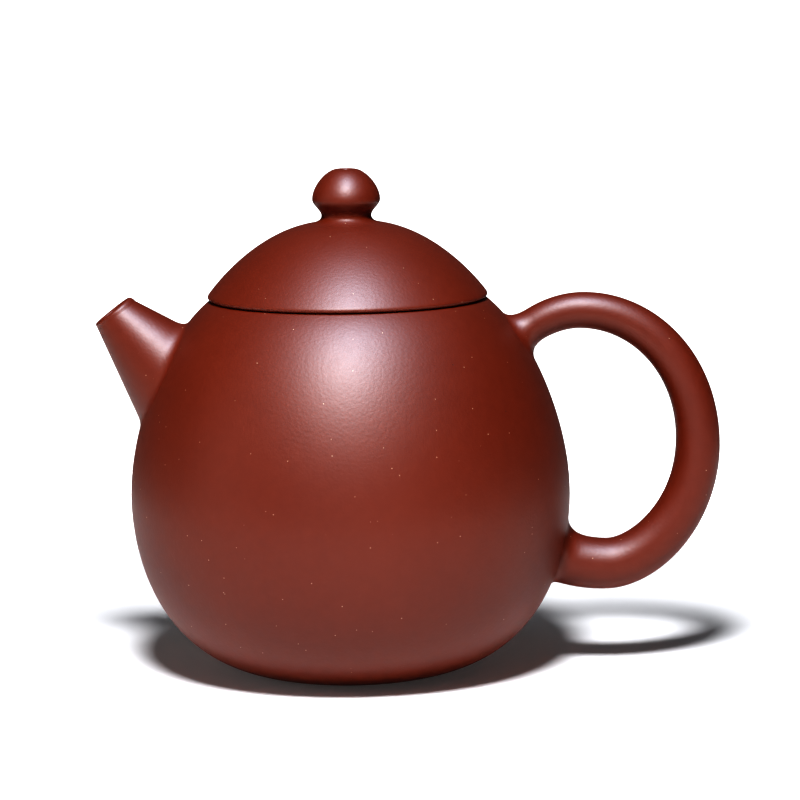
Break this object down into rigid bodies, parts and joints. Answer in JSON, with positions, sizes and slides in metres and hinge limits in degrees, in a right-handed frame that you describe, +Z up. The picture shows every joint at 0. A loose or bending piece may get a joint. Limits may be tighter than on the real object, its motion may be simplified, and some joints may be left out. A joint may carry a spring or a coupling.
{
  "type": "clay teapot",
  "caption": "Egg-shaped clay teapot with a lift-off domed lid and mushroom knob, a short tapered spout and a loop handle.",
  "frame": {"origin": "centre of the flat base, on the pot's axis of revolution", "axes": "+Z up along the pot's axis, -X towards the spout, +X towards the handle, Y across the pot"},
  "size_m": [0.1215, 0.0858, 0.0986],
  "materials": {
    "red_clay": "satin, unglazed, burnished"
  },
  "bodies": {
    "pot": {"lower_wall": "red_clay", "upper_wall": "red_clay", "base_disc": "red_clay", "mouth_ledge": "red_clay", "spout": "red_clay", "strainer": "red_clay", "handle": "red_clay"},
    "lid": {"lid_dome": "red_clay", "lid_flange": "red_clay", "knob": "red_clay"}
  },
  "joints": [
    {"name": "lid_lift", "type": "slide", "parent": "pot", "child": "lid", "axis": [0, 0, 1], "range_m": [0, 0.06]}
  ]
}
